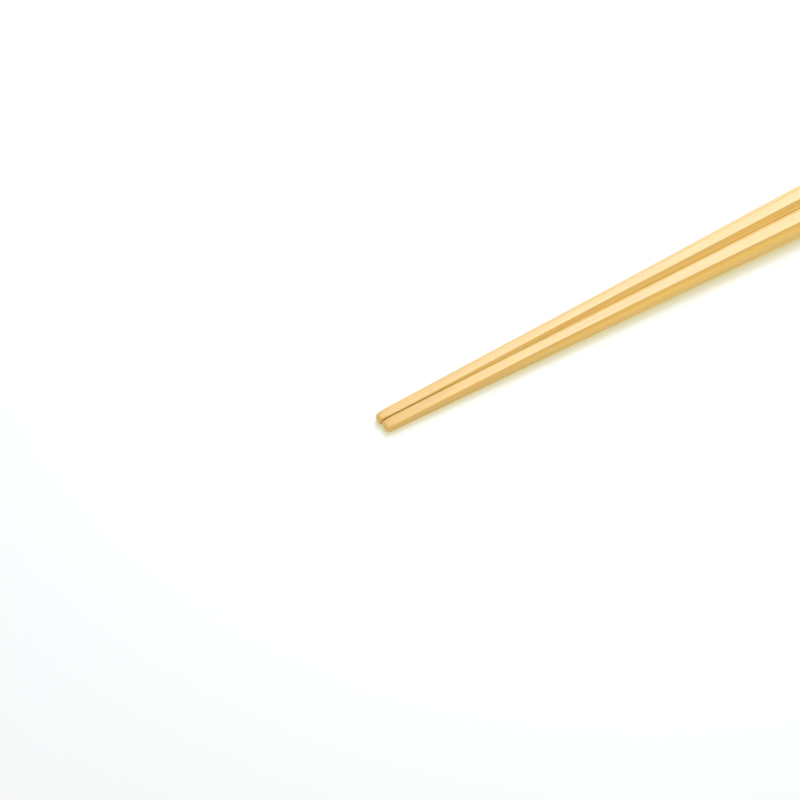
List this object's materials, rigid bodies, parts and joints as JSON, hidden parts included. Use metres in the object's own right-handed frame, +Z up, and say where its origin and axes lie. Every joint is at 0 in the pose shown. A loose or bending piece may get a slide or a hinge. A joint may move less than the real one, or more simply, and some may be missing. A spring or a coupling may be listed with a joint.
{
  "type": "pair of chopsticks",
  "caption": "Slim bamboo eating sticks lying side by side, square with planed corner facets, tapering evenly from a plain cut head to a small rounded tip.",
  "frame": {"origin": "on the surface the sticks lie on, under the middle of the pair, on the seam between them", "axes": "+X along the seam from the tips to the heads, +Y across from the left stick to the right stick, +Z up"},
  "size_m": [0.21, 0.016, 0.008],
  "materials": {
    "bamboo": "satin, plain planed bamboo with fine lengthwise fibres"
  },
  "bodies": {
    "root": {"right_chopstick": "bamboo", "left_chopstick": "bamboo"}
  },
  "joints": []
}
